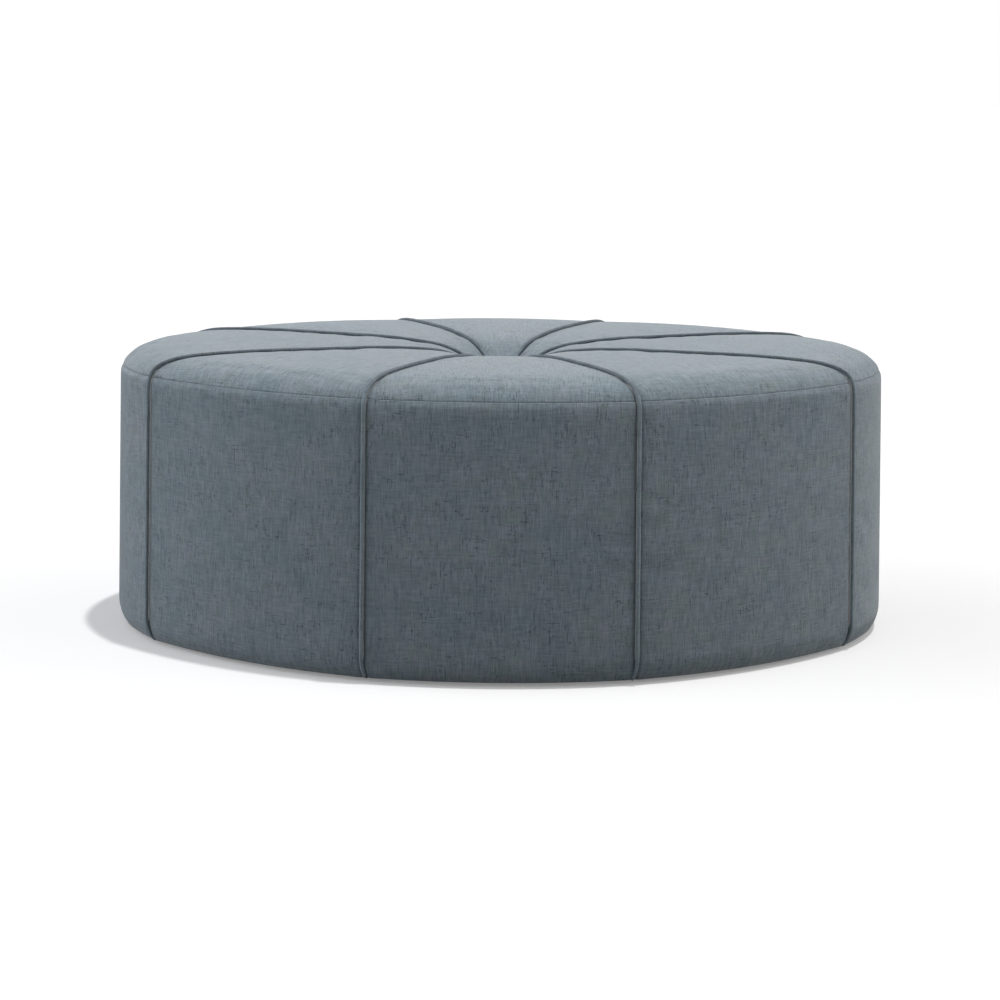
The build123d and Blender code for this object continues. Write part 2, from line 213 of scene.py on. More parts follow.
# Posts and rails: sawn softwood, 45 mm square and 30 by 60 mm, screwed between the boards.
# The posts show upright grain with darker late wood, and the rails show it lengthways.
softwood_pale = (0.66, 0.49, 0.30)
softwood_dark = (0.47, 0.29, 0.14)
ring_spacing = 0.006
ring_slant = 0.6
ring_drift = 0.018
drift_width = 0.02
grain_length = 0.25
fibre_length = 0.03
fibre_width = 0.0007
sawn_relief = 0.0004
softwood_parts = {
    "post_softwood": [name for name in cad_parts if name.startswith("post_")],
    "rail_softwood": ["deck_rail_front", "deck_rail_back"],
}
for kind, names in softwood_parts.items():
    softwood = Finish(kind)
    x, y, z = softwood.object_place()
    along, across = (z, x) if kind == "post_softwood" else (x, z)
    drift = softwood.noise(across / drift_width, y / drift_width, along / grain_length, 3.0)
    rings = (across + y * ring_slant + drift * ring_drift).ridges(ring_spacing)
    fibres = softwood.noise(across / fibre_width, y / fibre_width, along / fibre_length, 2.0)
    shade = rings * 0.65 + fibres * 0.35
    softwood.colour(softwood.mix(shade.between(0.15, 0.8), softwood_dark, softwood_pale))
    softwood.roughness(0.8 - shade * 0.2)
    softwood.relief(shade, sawn_relief)
    softwood.put_on(*names)

# Screws, nails and staples: zinc-plated steel, countersunk screws 50 mm long, nails through the
# glides, and staples of 11 mm crown in 0.8 mm wire. The plating is bright with a dull bloom.
zinc_bright = (0.62, 0.63, 0.65)
zinc_dull = (0.40, 0.41, 0.43)
bloom_size = 0.003
plating_relief = 0.00005
zinc = Finish("zinc_plated_steel", metallic=1.0)
bloom = zinc.speckle(bloom_size, 4.0, 0.6)
zinc.colour(zinc.mix(bloom.between(0.35, 0.65), zinc_bright, zinc_dull))
zinc.roughness(0.28 + bloom * 0.25)
zinc.relief(bloom, plating_relief)
zinc.put_on("frame_screws", "glide_nails", "cover_staples", "dust_cover_staples")

# Wall board: 3 mm grey board bent round the posts, which gives the sides their smooth curve.
# It is pressed from waste paper, so its face is mottled with darker flecks.
board_pale = (0.36, 0.34, 0.31)
board_dark = (0.20, 0.19, 0.18)
mottle_size = 0.012
fleck_size = 0.0012
fleck_relief = 0.0002
wall_board = Finish("grey_board")
mottle = wall_board.speckle(mottle_size, 5.0, 0.65)
flecks = wall_board.speckle(fleck_size, 1.0)
shade = mottle * 0.6 + flecks * 0.4
wall_board.colour(wall_board.mix(shade.between(0.35, 0.65), board_dark, board_pale))
wall_board.roughness(0.8 + mottle * 0.15)
wall_board.relief(flecks, fleck_relief)
wall_board.put_on("wall_board_front", "wall_board_back")

# Foam: cream polyurethane, 12 mm on the walls and a shaped block on the deck.
# It is cut open-celled, with pores of about a millimetre.
foam_cream = (0.72, 0.66, 0.48)
foam_shadow = (0.50, 0.44, 0.29)
pore_size = 0.0011
ageing_size = 0.09
pore_relief = 0.0008
foam = Finish("cut_foam")
x, y, z = foam.object_place()
place = foam.vector(x / pore_size, y / pore_size, z / pore_size)
cells = foam.add("ShaderNodeTexVoronoi", {"feature": "F1"}, {"Vector": place, "Scale": 1.0})
ageing = foam.speckle(ageing_size, 3.0)
foam.colour(foam.mix(cells * 0.7 + ageing * 0.3, foam_shadow, foam_cream))
foam.roughness(0.98 - cells * 0.1)
foam.relief(cells, pore_relief)
foam.put_on("seat_foam", "side_foam_front", "side_foam_back")

# Wadding: white polyester fibre, 8 mm, between the foam and the cover.
# It rounds every edge, and its loose fibres lie in all directions.
wadding_white = (0.80, 0.80, 0.78)
wadding_shadow = (0.58, 0.58, 0.57)
wadding_tuft_size = 0.010
wadding_fibre_size = 0.0012
wadding_relief = 0.0012
wadding = Finish("polyester_wadding")
tufts = wadding.speckle(wadding_tuft_size, 5.0, 0.65, 0.8)
fibres = wadding.speckle(wadding_fibre_size, 2.0, 0.5, 2.0)
shade = tufts * 0.55 + fibres * 0.45
wadding.colour(wadding.mix(shade.between(0.3, 0.7), wadding_shadow, wadding_white))
wadding.roughness(1 - tufts * 0.1)
wadding.relief(shade, wadding_relief)
wadding.put_on("top_wadding", "side_wadding_front", "side_wadding_back")

# Seat cover: eight gores of slate blue linen weave, sewn along the welts from the tuft in the
# middle out to the top seam. The cover is 2 mm thick over soft wadding, so each gore swells a
# little between its seams. Ovals run through the seams, and a profile through chosen nodes.
foot_length = 1.220
foot_depth = 0.813
rim_length = 1.192
rim_depth = 0.7945
seat_height = 0.447
seat_swell = 0.0025
seat_edge_level = 0.435
top_seam_level = 0.414
cover_thickness = 0.002
# Directions of the seams from the middle of the seat, in degrees
seams = {
    "front_left": -117.3,
    "front_right": -62.7,
    "right_front": -19.3,
    "right_back": 19.3,
    "back_right": 62.7,
    "back_left": 117.3,
    "left_back": 160.7,
    "left_front": 199.3,
}
# Each panel's seams, and how much fuller than the ovals it is half-way between them
panels = {
    "front": ("front_left", "front_right", 0.0),
    "front_right": ("front_right", "right_front", -0.010),
    "right_end": ("right_front", "right_back", 0.0035),
    "back_right": ("right_back", "back_right", -0.010),
    "back": ("back_right", "back_left", 0.0),
    "back_left": ("back_left", "left_back", -0.010),
    "left_end": ("left_back", "left_front", 0.0035),
    "front_left": ("left_front", "front_left", -0.010),
}
# Along the seat from the tuft outwards: radius, depth below the crest of the seams, slope
tuft_nodes = ((0.019, 0.057, 52), (0.048, 0.0315, 31), (0.120, 0.0065, 6.5), (0.230, 0, 0))
# Near the top seam: distance in from the wall's line, depth below the crest, slope
edge_nodes = ((0.068, 0.0025, -4), (0.028, 0.010, -18.5), (0.0095, 0.020, -42.5))
seam_inset = 0.0025
seam_slope = -70
# Rows of the mesh from each node to the next, as seen and as simulated
seat_rows = (5, 9, 11, 24, 10, 9, 12)
seat_swell_rows = (2, 3, 5, 14, 5, 3, 3)
swell_spacing = 0.014
swell_most = 0.0011
swell_least = 0.0003
swell_pressure = 1.5
swell_frames = 20
swell_quality = 6
fabric_ease = 0.006
fabric_bending = 0.5
seam_columns = (0.0, 0.0009, 0.0019, 0.0032, 0.0050, 0.0078, 0.0120)
column_spacing = 0.0075
fewest_columns = 6
welt_groove_depth = 0.0034
welt_groove_width = 0.0036
top_seam_groove_depth = 0.0006
top_seam_groove_width = 0.0011
wall_groove_width = 0.0050


def oval_reach(angle, length, depth):
    """Distance from the centre line to the edge of an oval, in a direction."""
    return 1 / np.hypot(2 * np.cos(angle) / length, 2 * np.sin(angle) / depth)


def hermite(start, end, share):
    """A point between two nodes (across, up, slope) of a profile that turns smoothly."""
    across, up, slope = start
    to_across, to_up, to_slope = end
    begin, finish = np.radians(slope), np.radians(to_slope)
    pull = np.hypot(to_across - across, to_up - up) / np.cos((finish - begin) / 4) ** 2
    first = 2 * share**3 - 3 * share**2 + 1
    leave = (share**3 - 2 * share**2 + share) * pull
    last = 3 * share**2 - 2 * share**3
    arrive = (share**3 - share**2) * pull
    return (
        first * across + leave * np.cos(begin) + last * to_across + arrive * np.cos(finish),
        first * up + leave * np.sin(begin) + last * to_up + arrive * np.sin(finish),
    )


def seat_nodes(angle, fullness, swell):
    """The nodes of the seat's profile in a direction, from the tuft out to the top seam."""
    rim = oval_reach(angle, rim_length, rim_depth) + fullness
    crest = seat_height - seat_swell
    lift = (0, 0, 1, 1, 1, 1, 0, 0)
    nodes = list(tuft_nodes)
    nodes += [(rim - inset, depth, slope) for inset, depth, slope in edge_nodes]
    nodes.append((rim - seam_inset, crest - top_seam_level, seam_slope))
    return [
        (across, crest - depth + swell * share, slope)
        for (across, depth, slope), share in zip(nodes, lift)
    ]


def spans(counts):
    """The place of each row of a mesh along a profile: the node before it and the share after."""
    places = [(node, step / count) for node, count in enumerate(counts) for step in range(count)]
    return places + [(len(counts) - 1, 1.0)]


def across_panel(width):
    """Places across a panel at each of its widths: close together along the seams."""
    columns = max(fewest_columns, int(round(width.max() / column_spacing)))
    tight = np.minimum(1, width / (3 * seam_columns[-1]))[:, None]
    left = tight * np.array(seam_columns)
    share = np.linspace(0, 1, columns)[1:-1]
    inner = left[:, -1:] + (width[:, None] - 2 * left[:, -1:]) * share
    return np.hstack([left, inner, width[:, None] - left[:, ::-1]])


def seam_point(name):
    """Where a seam meets the wall's line, as a complex number."""
    angle = math.radians(seams[name])
    return oval_reach(angle, rim_length, rim_depth) * np.exp(1j * angle)


def grid_faces(index):
    """The faces between the points of a grid, given by their numbers."""
    corners = (index[:-1, :-1], index[1:, :-1], index[1:, 1:], index[:-1, 1:])
    return np.stack([corner.ravel() for corner in corners], 1)


def placed(name, data):
    """A new object in the scene, for a mesh, a lamp or a lens."""
    thing = bpy.data.objects.new(name, data)
    scene.collection.objects.link(thing)
    return thing


class Patch:
    """A panel of the cover as a grid of points, with the fabric's own measure on it."""

    def __init__(self, name, nodes_at, rows, across=across_panel):
        first, last, fullness = panels[name]
        middle = np.angle(seam_point(first) + seam_point(last))
        sections = (
            (math.radians(seams[first]), 0.0, 0.0),
            (middle, fullness, seat_swell),
            (math.radians(seams[last]), 0.0, 0.0),
        )
        start, centre, end = [self.section(nodes_at, rows, *place) for place in sections]
        before = np.linalg.norm(centre - start, axis=1)
        after = np.linalg.norm(end - centre, axis=1)
        width = before + after
        share = (before / width)[:, None]
        pull = centre - start * (1 - share) ** 2 - end * share**2
        pull /= 2 * share * (1 - share)
        self.rows = rows
        self.across = across(width)
        # Each row is a curve through the two seams and the middle of the panel
        t = (self.across / width[:, None])[..., None]
        inner = pull[:, None] * 2 * t * (1 - t)
        self.points = start[:, None] * (1 - t) ** 2 + inner + end[:, None] * t**2
        self.width = width[:, None]
        self.from_seam = np.minimum(self.across, self.width - self.across)
        steps = np.linalg.norm(np.diff(centre, axis=0), axis=1)
        self.along = np.concatenate([[0], np.cumsum(steps)])
        self.aside = self.points - centre[:, None]
        self.side = np.sign(self.across - before[:, None])
        chord = seam_point(last) - seam_point(first)
        self.chord = np.array([chord.real, chord.imag, 0]) / abs(chord)

    def weave_round(self):
        """Lays the weave round a wall, with its warp straight down from the first row."""
        self.measure(np.hypot(self.aside[..., 0], self.aside[..., 1]) * self.side)

    def weave_flat(self, row):
        """Lays the weave over a gore, with its warp square to the rim and straight at a row."""
        self.measure(self.points @ self.chord)
        outwards = np.cross(self.chord, (0, 0, 1))
        self.grain[..., 1] += self.points[row] @ outwards - self.grain[row, :, 1]

    def measure(self, over):
        """Measures the weave: given across the warp, and counted along it row by row."""
        steps = (np.diff(self.points, axis=0) ** 2).sum(2) - np.diff(over, axis=0) ** 2
        along = np.vstack([np.zeros(over.shape[1]), np.cumsum(np.sqrt(np.maximum(steps, 0)), 0)])
        self.grain = np.stack([over, along], 2)

    def section(self, nodes_at, rows, angle, fullness, swell):
        """The points of each row in one vertical plane."""
        nodes = nodes_at(angle, fullness, swell)
        flat = np.array([hermite(nodes[node], nodes[node + 1], share) for node, share in rows])
        reach = flat[:, 0]
        return np.stack([reach * math.cos(angle), reach * math.sin(angle), flat[:, 1]], 1)

    def outward(self):
        """The direction out of the fabric at each point."""
        down, over = np.gradient(self.points, axis=0), np.gradient(self.points, axis=1)
        out = np.cross(down, over)
        return out / np.linalg.norm(out, axis=2, keepdims=True)

    def raise_by(self, height):
        """Moves each point outwards by its own height."""
        self.points = self.points + self.outward() * height[..., None]

    def mesh(self, name, uv_shift):
        """The panel as a Blender object, with its weave's coordinates in metres."""
        rows, columns = self.points.shape[:2]
        faces = grid_faces(np.arange(rows * columns).reshape(rows, columns))
        mesh = bpy.data.meshes.new(name)
        mesh.from_pydata(self.points.reshape(-1, 3).tolist(), [], faces.tolist())
        weave = mesh.uv_layers.new(name="weave")
        grain = self.grain.reshape(-1, 2) + uv_shift
        weave.data.foreach_set("uv", grain[faces.ravel()].ravel())
        mesh.polygons.foreach_set("use_smooth", [True] * len(mesh.polygons))
        return placed(name, mesh)


def groove(distance, depth, width):
    """How far the fabric is drawn in at a distance from a seam."""
    return depth * np.exp(-((distance / width) ** 2))


# Weave: warp and weft about 1.4 mm apart, uneven and lightly slubbed, in slate blue yarn that
# took the dye unevenly. It is used for the gores, the sides, the welts and the button.
slate = (0.187, 0.238, 0.271)
slate_green = (0.193, 0.242, 0.253)
slate_plum = (0.206, 0.237, 0.279)
slub_dark = (0.045, 0.066, 0.086)
warp_pitch = 0.0014
weft_pitch = 0.0015
warp_streak = 0.026
weft_streak = 0.026
yarn_shift = 90
yarn_lane = 0.731
slub_width = 0.0019
slub_length = 0.0135
slub_least_warp = 0.59
slub_least_weft = 0.63
slub_fade = 0.07
slub_darkness = 0.74
slubby_patch = 0.035
dye_blotch = 0.022
dye_cloud = 0.100
dye_contrast = 0.30
warp_contrast = 0.98
weft_contrast = 0.64
yarn_wander = 0.004
wander_length = 0.05
thread_relief = 0.0003
cover_tone = 1.05
cover_sheen = 0.40
sheen_spread = 0.45


def yarn_tone(cloth, side, run, pitch, streak, seed):
    """How dark the yarn is that lies at a place, with its own start for each yarn."""
    lane = (side / pitch).whole()
    start = cloth.add("ShaderNodeTexWhiteNoise", {"noise_dimensions": "1D"}, {"W": lane + seed})
    return cloth.noise(run / streak + start * yarn_shift, lane * yarn_lane, seed, 1.0)


def slub_mark(cloth, side, run, seed, least):
    """1 where a yarn has a thick dark slub, by its place across the yarn and along it."""
    tone = yarn_tone(cloth, side, run, slub_width, slub_length, seed)
    return tone.between(least, least + slub_fade) * side.ridges(slub_width)


def weave_finish(name, slub_share, base_tone, sheen, seat_painted_shade=0):
    """The linen-look fabric on a piece whose weave coordinates are in metres, darkened on the seat
    by painted shade where a share of it is given.
    """
    cloth = Finish(name, sheen_weight=sheen, sheen_roughness=sheen_spread)
    over, along, _ = cloth.axes(cloth.add("ShaderNodeUVMap", {"uv_map": "weave"}))

    def patches(size, seed, detail, roughness=0.5):
        """Soft patches of one size all over the piece."""
        return cloth.noise(over / size, along / size, seed, detail, roughness)

    over = over + patches(wander_length, 5.0, 2.0) * yarn_wander
    along = along + patches(wander_length, 9.0, 2.0) * yarn_wander
    warp = yarn_tone(cloth, over, along, warp_pitch, warp_streak, 3.0)
    weft = yarn_tone(cloth, along, over, weft_pitch, weft_streak, 7.0)
    marks = slub_mark(cloth, over, along, 11.0, slub_least_warp)
    marks = marks + slub_mark(cloth, along, over, 17.0, slub_least_weft)
    patchy = patches(slubby_patch, 13.0, 2.0).between(0.38, 0.62)
    slubs = marks * (0.20 + patchy * 0.80) * slub_share
    cast = patches(dye_blotch, 31.0, 3.0, 0.65)
    cloud = patches(dye_cloud, 23.0, 3.0, 0.6)
    tint = cloth.mix(cast.between(0.40, 0.60), slate_green, slate_plum)
    ground = cloth.mix(cloud.between(0.35, 0.65), slate, tint)
    uneven = (cloud - 0.5) * dye_contrast + (cast - 0.5) * dye_contrast
    uneven = uneven + (warp - 0.5) * warp_contrast + (weft - 0.5) * weft_contrast
    yarn = base_tone + uneven
    # Painted shade: the yarn is darkened from the top seam up to the seat's edge and above, for the
    # shade on the welts' faces across the seat
    if seat_painted_shade:
        level = cloth.object_place()[2]
        yarn = yarn - level.between(top_seam_level, seat_edge_level) * seat_painted_shade
    dyed = cloth.add("ShaderNodeVectorMath", {"operation": "SCALE"}, {0: ground, "Scale": yarn})
    cloth.colour(cloth.mix(slubs * slub_darkness, dyed, slub_dark))
    thread = over.ridges(warp_pitch) * warp + along.ridges(weft_pitch) * weft + slubs * 0.5
    cloth.roughness(0.95 - thread * 0.12)
    cloth.relief(thread, thread_relief)
    return cloth


cover_cloth = weave_finish("slate_linen", 1.0, cover_tone, cover_sheen)
rng = np.random.default_rng(41)


def finish_panel(piece, node):
    """Gives a panel its thickness and finish, and its place in the frame."""
    solid = piece.modifiers.new("thickness", "SOLIDIFY")
    solid.thickness = cover_thickness
    solid.offset = -1
    piece.data.materials.append(cover_cloth.material)
    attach(piece, "root")
    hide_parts(node)


def wide_across(width):
    """Even places across a panel, for the mesh that is simulated."""
    columns = max(fewest_columns, int(round(width.max() / swell_spacing)) + 1)
    return width[:, None] * np.linspace(0, 1, columns)


def swell_of(nodes_at, counts):
    """How far the wadding swells each panel between its stitched edges: simulated cloth."""
    patches = {name: Patch(name, nodes_at, spans(counts), wide_across) for name in panels}
    points, faces, pinned, first = [], [], [], {}
    for name, patch in patches.items():
        rows, columns = patch.across.shape
        first[name] = len(points)
        index = np.arange(rows * columns).reshape(rows, columns) + first[name]
        faces += grid_faces(index).tolist()
        pinned += [*index[0], *index[-1], *index[:, 0], *index[:, -1]]
        points += patch.points.reshape(-1, 3).tolist()
    mesh = bpy.data.meshes.new("swelling")
    mesh.from_pydata(points, [], faces)
    cover = placed("swelling", mesh)
    cover.vertex_groups.new(name="stitched").add(list(map(int, set(pinned))), 1.0, "REPLACE")
    cloth = cover.modifiers.new("cloth", "CLOTH")
    cloth.settings.vertex_group_mass = "stitched"
    cloth.settings.quality = swell_quality
    cloth.settings.use_pressure = True
    cloth.settings.uniform_pressure_force = swell_pressure
    cloth.settings.shrink_min = -fabric_ease
    cloth.settings.effector_weights.gravity = 0
    cloth.settings.bending_stiffness = fabric_bending
    for step in range(1, swell_frames + 1):
        scene.frame_set(step)
    seen = cover.evaluated_get(bpy.context.evaluated_depsgraph_get())
    moved = np.zeros(len(points) * 3)
    seen.data.vertices.foreach_get("co", moved)
    bpy.data.objects.remove(cover)
    scene.frame_set(1)
    risen = {}
    for name, patch in patches.items():
        count = patch.across.size
        after = moved.reshape(-1, 3)[first[name]:first[name] + count]
        shift = after - patch.points.reshape(-1, 3)
        height = (shift.reshape(patch.points.shape) * patch.outward()).sum(2)
        most = np.where(height > 0, swell_most, swell_least)
        risen[name] = most * np.tanh(height / most)
    return risen


def smooth_at(values, places):
    """Values along the first axis of a grid at places between its rows, on a smooth curve."""
    row = np.clip(np.floor(places).astype(int), 0, len(values) - 2)
    share = (places - row).reshape(-1, *[1] * (values.ndim - 1))
    a, b, c, d = [values[np.clip(row + step, 0, len(values) - 1)] for step in (-1, 0, 1, 2)]
    cubic = (3 * b - a - 3 * c + d) * share**3 + (2 * a - 5 * b + 4 * c - d) * share**2
    return b + (cubic + (c - a) * share) / 2


def spread(risen, patch, counts):
    """The swell of a panel's wide mesh at the points of its fine one."""
    wide = [node + share for node, share in spans(counts)]
    fine = [node + share for node, share in patch.rows]
    rows = smooth_at(risen, np.interp(fine, wide, np.arange(len(wide))))
    share = patch.across / patch.width * (risen.shape[1] - 1)
    return np.stack([smooth_at(row, place) for row, place in zip(rows, share)])


seat_places = spans(seat_rows)
seat_swelling = swell_of(seat_nodes, seat_swell_rows)
for name in panels:
    patch = Patch(name, seat_nodes, seat_places)
    from_rim = patch.along[-1] - patch.along[:, None]
    drawn = groove(patch.from_seam, welt_groove_depth, welt_groove_width)
    drawn += groove(from_rim, top_seam_groove_depth, top_seam_groove_width)
    patch.weave_flat(sum(seat_rows[:3]))
    patch.raise_by(spread(seat_swelling[name], patch, seat_swell_rows) - drawn)
    piece = patch.mesh("seat_gore_" + name, rng.uniform(0, 9, 2))
    finish_panel(piece, "top_panel_" + name)

# Side cover: eight panels of the same weave from the top seam down the wall, turned under the
# base and stapled there. The wall leans out by a degree or two, and its foot draws in.
underside_level = 0.005
brow_drop = 0.021
foot_radius = 0.060
foot_slope = 30
turn_radius = 0.008
flap_inset = 0.066
side_rows = (12, 44, 6, 7, 8)
side_swell_rows = (3, 24, 4, 3, 3)


def turned(across, up, slope, radius, end_slope):
    """Where an arc that turns down and inwards from a node ends."""
    begin, finish = np.radians(slope), math.radians(end_slope)
    return (
        across + radius * (np.sin(begin) - np.sin(finish)),
        up - radius * (np.cos(begin) - np.cos(finish)),
        end_slope,
    )


def side_nodes(angle, fullness, swell):
    """The nodes of the wall's profile in a direction, from the top seam to the flap's edge."""
    rim = oval_reach(angle, rim_length, rim_depth) + fullness
    foot = oval_reach(angle, foot_length, foot_depth) + fullness
    rise = foot_radius * math.sin(math.radians(foot_slope))
    widest_level = underside_level + rise + turn_radius * (1 - rise / foot_radius)
    lean = (foot - rim) / (top_seam_level - widest_level)
    slope = np.degrees(np.arctan(lean)) - 90
    drawn_in = turned(foot, widest_level, slope, foot_radius, -90 - foot_slope)
    under = turned(*drawn_in, turn_radius, -180)
    return [
        (rim - seam_inset, top_seam_level, seam_slope),
        (rim + lean * brow_drop, top_seam_level - brow_drop, slope),
        (foot, widest_level, slope),
        drawn_in,
        (under[0], underside_level, -180),
        (foot - flap_inset, underside_level, -180),
    ]


side_places = spans(side_rows)
side_swelling = swell_of(side_nodes, side_swell_rows)
for name in panels:
    patch = Patch(name, side_nodes, side_places)
    drawn = groove(patch.from_seam, welt_groove_depth, welt_groove_width)
    drawn += groove(patch.along[:, None], top_seam_groove_depth, wall_groove_width)
    patch.weave_round()
    patch.raise_by(spread(side_swelling[name], patch, side_swell_rows) - drawn)
    piece = patch.mesh("side_cover_" + name, rng.uniform(0, 9, 2))
    finish_panel(piece, "side_panel_" + name)

# Welts: cord 4 mm thick in a strip of the same weave, sewn between the panels and standing a
# little proud of them, from the button over the seat's edge and down to the turned-under flap.
welt_radius = 0.0028
welt_rise = 0.0020
welt_foot_sink = 0.0022
welt_sides = 14
welt_step = 0.003
welt_end_inset = 0.032
welt_seat_rows = (8, 8, 8, 10, 10, 10, 8)
welt_side_rows = (6, 30, 8, 8, 4)
welt_slubs = 0.5
welt_tone = 1.15
welt_sheen = 0.12
# How much painted shade darkens the welts on the seat, where their faces lie in shade
welt_seat_painted_shade = 0.45

welt_cloth = weave_finish("slate_welting", welt_slubs, welt_tone, welt_sheen, welt_seat_painted_shade)

# Tree that turns a path into a round cord, with the weave's coordinates on it
cord_tree = bpy.data.node_groups.new("welt_cord", "GeometryNodeTree")
cord = Tree(cord_tree)
for socket_name, kind, way in (
    ("Path", "NodeSocketGeometry", "INPUT"),
    ("Radius", "NodeSocketFloat", "INPUT"),
    ("Sides", "NodeSocketInt", "INPUT"),
    ("Step", "NodeSocketFloat", "INPUT"),
    ("Fabric", "NodeSocketMaterial", "INPUT"),
    ("Cord", "NodeSocketGeometry", "OUTPUT"),
):
    cord_tree.interface.new_socket(socket_name, in_out=way, socket_type=kind)


def given(socket_name):
    """One of the tree's inputs."""
    return cord.add("NodeGroupInput", output=socket_name)


def measured(curve, attribute, output):
    """A curve that keeps, under a name, how far along it each of its points lies."""
    value = cord.add("GeometryNodeSplineParameter", output=output)
    settings = {"data_type": "FLOAT", "domain": "POINT"}
    values = {"Geometry": curve, "Name": attribute, "Value": value}
    return cord.add("GeometryNodeStoreNamedAttribute", settings, values)


line = cord.add("GeometryNodeMeshToCurve", {}, {"Mesh": given("Path")})
spacing = {"Curve": line, "Length": given("Step")}
spaced = cord.add("GeometryNodeResampleCurve", {"mode": "LENGTH"}, spacing)
round_sizes = {"Resolution": given("Sides"), "Radius": given("Radius")}
ring = cord.add("GeometryNodeCurvePrimitiveCircle", {}, round_sizes)
sweep = {
    "Curve": measured(spaced, "along", "Length"),
    "Profile Curve": measured(ring, "around", "Factor"),
    "Fill Caps": True,
}
tube = cord.add("GeometryNodeCurveToMesh", {}, sweep)
smooth = cord.add("GeometryNodeSetShadeSmooth", {}, {"Geometry": tube})
whole = cord.add("GeometryNodeRealizeInstances", {}, {"Geometry": smooth})
dressed = {"Geometry": whole, "Material": given("Fabric")}
finished = cord.add("GeometryNodeSetMaterial", {}, dressed)
cord.feed(cord_tree.nodes.new("NodeGroupOutput").inputs["Cord"], finished)


def grown(path, tree, values):
    """The plain mesh that a tree makes from an object, as a new object in its place."""
    modifier = path.modifiers.new("tree", "NODES")
    modifier.node_group = tree
    identifiers = {item.name: item.identifier for item in tree.interface.items_tree}
    for socket, value in values.items():
        modifier[identifiers[socket]] = value
    seen = path.evaluated_get(bpy.context.evaluated_depsgraph_get())
    mesh = bpy.data.meshes.new_from_object(seen)
    name = path.name
    bpy.data.objects.remove(path)
    mesh.name = name
    return placed(name, mesh)


def path_through(name, points):
    """An object with an edge from each point to the next."""
    mesh = bpy.data.meshes.new(name)
    edges = [(i, i + 1) for i in range(len(points) - 1)]
    mesh.from_pydata([tuple(point) for point in points], edges, [])
    return placed(name, mesh)


def seam_line(angle, end_inset):
    """Points along a welted seam, proud of the cover but for its foot, from tuft to flap."""
    angle = np.array(math.radians(angle))
    seat = seat_nodes(angle, 0.0, 0.0)
    side = side_nodes(angle, 0.0, 0.0)
    side[-1] = (side[2][0] - end_inset, side[-1][1], side[-1][2])
    places = [hermite(seat[k], seat[k + 1], share) for k, share in spans(welt_seat_rows)]
    places += [hermite(side[k], side[k + 1], share) for k, share in spans(welt_side_rows)][1:]
    flat = np.array(places)
    way = np.gradient(flat, axis=0)
    way /= np.linalg.norm(way, axis=1, keepdims=True)
    sink = np.interp(flat[:, 1], (underside_level, side[2][1]), (welt_foot_sink, -welt_rise))
    flat = flat + sink[:, None] * np.stack([way[:, 1], -way[:, 0]], 1)
    return np.stack([flat[:, 0] * np.cos(angle), flat[:, 0] * np.sin(angle), flat[:, 1]], 1)


cord_values = {
    "Radius": welt_radius,
    "Sides": welt_sides,
    "Step": welt_step,
    "Fabric": welt_cloth.material,
}
for name, angle in seams.items():
    path = path_through("welt_" + name + "_cord", seam_line(angle, welt_end_inset))
    piece = grown(path, cord_tree, cord_values)
    weave = piece.data.uv_layers.new(name="weave")
    count = len(piece.data.vertices)
    along, around = np.zeros(count), np.zeros(count)
    piece.data.attributes["along"].data.foreach_get("value", along)
    piece.data.attributes["around"].data.foreach_get("value", around)
    corner = np.zeros(len(piece.data.loops), int)
    piece.data.loops.foreach_get("vertex_index", corner)
    over = around[corner] * 2 * math.pi * welt_radius
    weave.data.foreach_set("uv", np.stack([over, along[corner]], 1).ravel())
    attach(piece, "root")
    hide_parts("welt_" + name)

# Tuft: a covered button, 40 mm across, pulled down by twine that is knotted under a washer
# below the deck. The fabric is gathered behind the button, so its rim shows fine pleats.
button_low, button_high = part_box("center_button")
button_radius = (button_high.x - button_low.x) / 2
button_rim = 0.003
pleats = 18
pleat_depth = 0.0004
pleats_begin_share = 0.75
button_back_share = 0.86
button_rings = 26
button_steps = 96

turns = np.linspace(0, 2 * math.pi, button_steps, endpoint=False)
crown = button_high.z - button_low.z - button_rim
dome = np.linspace(0, 1, button_rings)
ring_radius = button_radius * np.append(np.sin(dome * math.pi / 2), button_back_share)
ring_level = np.append(
    button_low.z + button_rim + crown * np.cos(dome * math.pi / 2), button_low.z
)
past_smooth = ring_radius / button_radius - pleats_begin_share
pleated = np.clip(past_smooth / (1 - pleats_begin_share), 0, 1)
gather = 1 + (pleat_depth / button_radius) * pleated[:, None] * np.cos(pleats * turns)
points = np.dstack([
    ring_radius[:, None] * gather * np.cos(turns),
    ring_radius[:, None] * gather * np.sin(turns),
    np.repeat(ring_level[:, None], button_steps, 1),
])[1:]
top = len(points) * button_steps
index = np.arange(top).reshape(len(points), button_steps)
index = np.hstack([index, index[:, :1]])
faces = grid_faces(index).tolist()
first_ring, last_ring = index[0].tolist(), index[-1].tolist()
faces += [(top, *pair) for pair in zip(first_ring, first_ring[1:])]
faces += [(top + 1, *pair) for pair in zip(last_ring[1:], last_ring)]
ends = [(0, 0, button_high.z), (0, 0, button_low.z)]
mesh = bpy.data.meshes.new("tuft_button")
mesh.from_pydata(points.reshape(-1, 3).tolist() + ends, [], faces)
mesh.polygons.foreach_set("use_smooth", [True] * len(mesh.polygons))
weave = mesh.uv_layers.new(name="weave")
corner = np.zeros(len(mesh.loops), int)
mesh.loops.foreach_get("vertex_index", corner)
spots = np.array([tuple(vertex.co) for vertex in mesh.vertices])[corner]
weave.data.foreach_set("uv", spots[:, :2].ravel())
mesh.materials.append(cover_cloth.material)
button = placed("tuft_button", mesh)
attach(button, "root")
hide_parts("center_button")

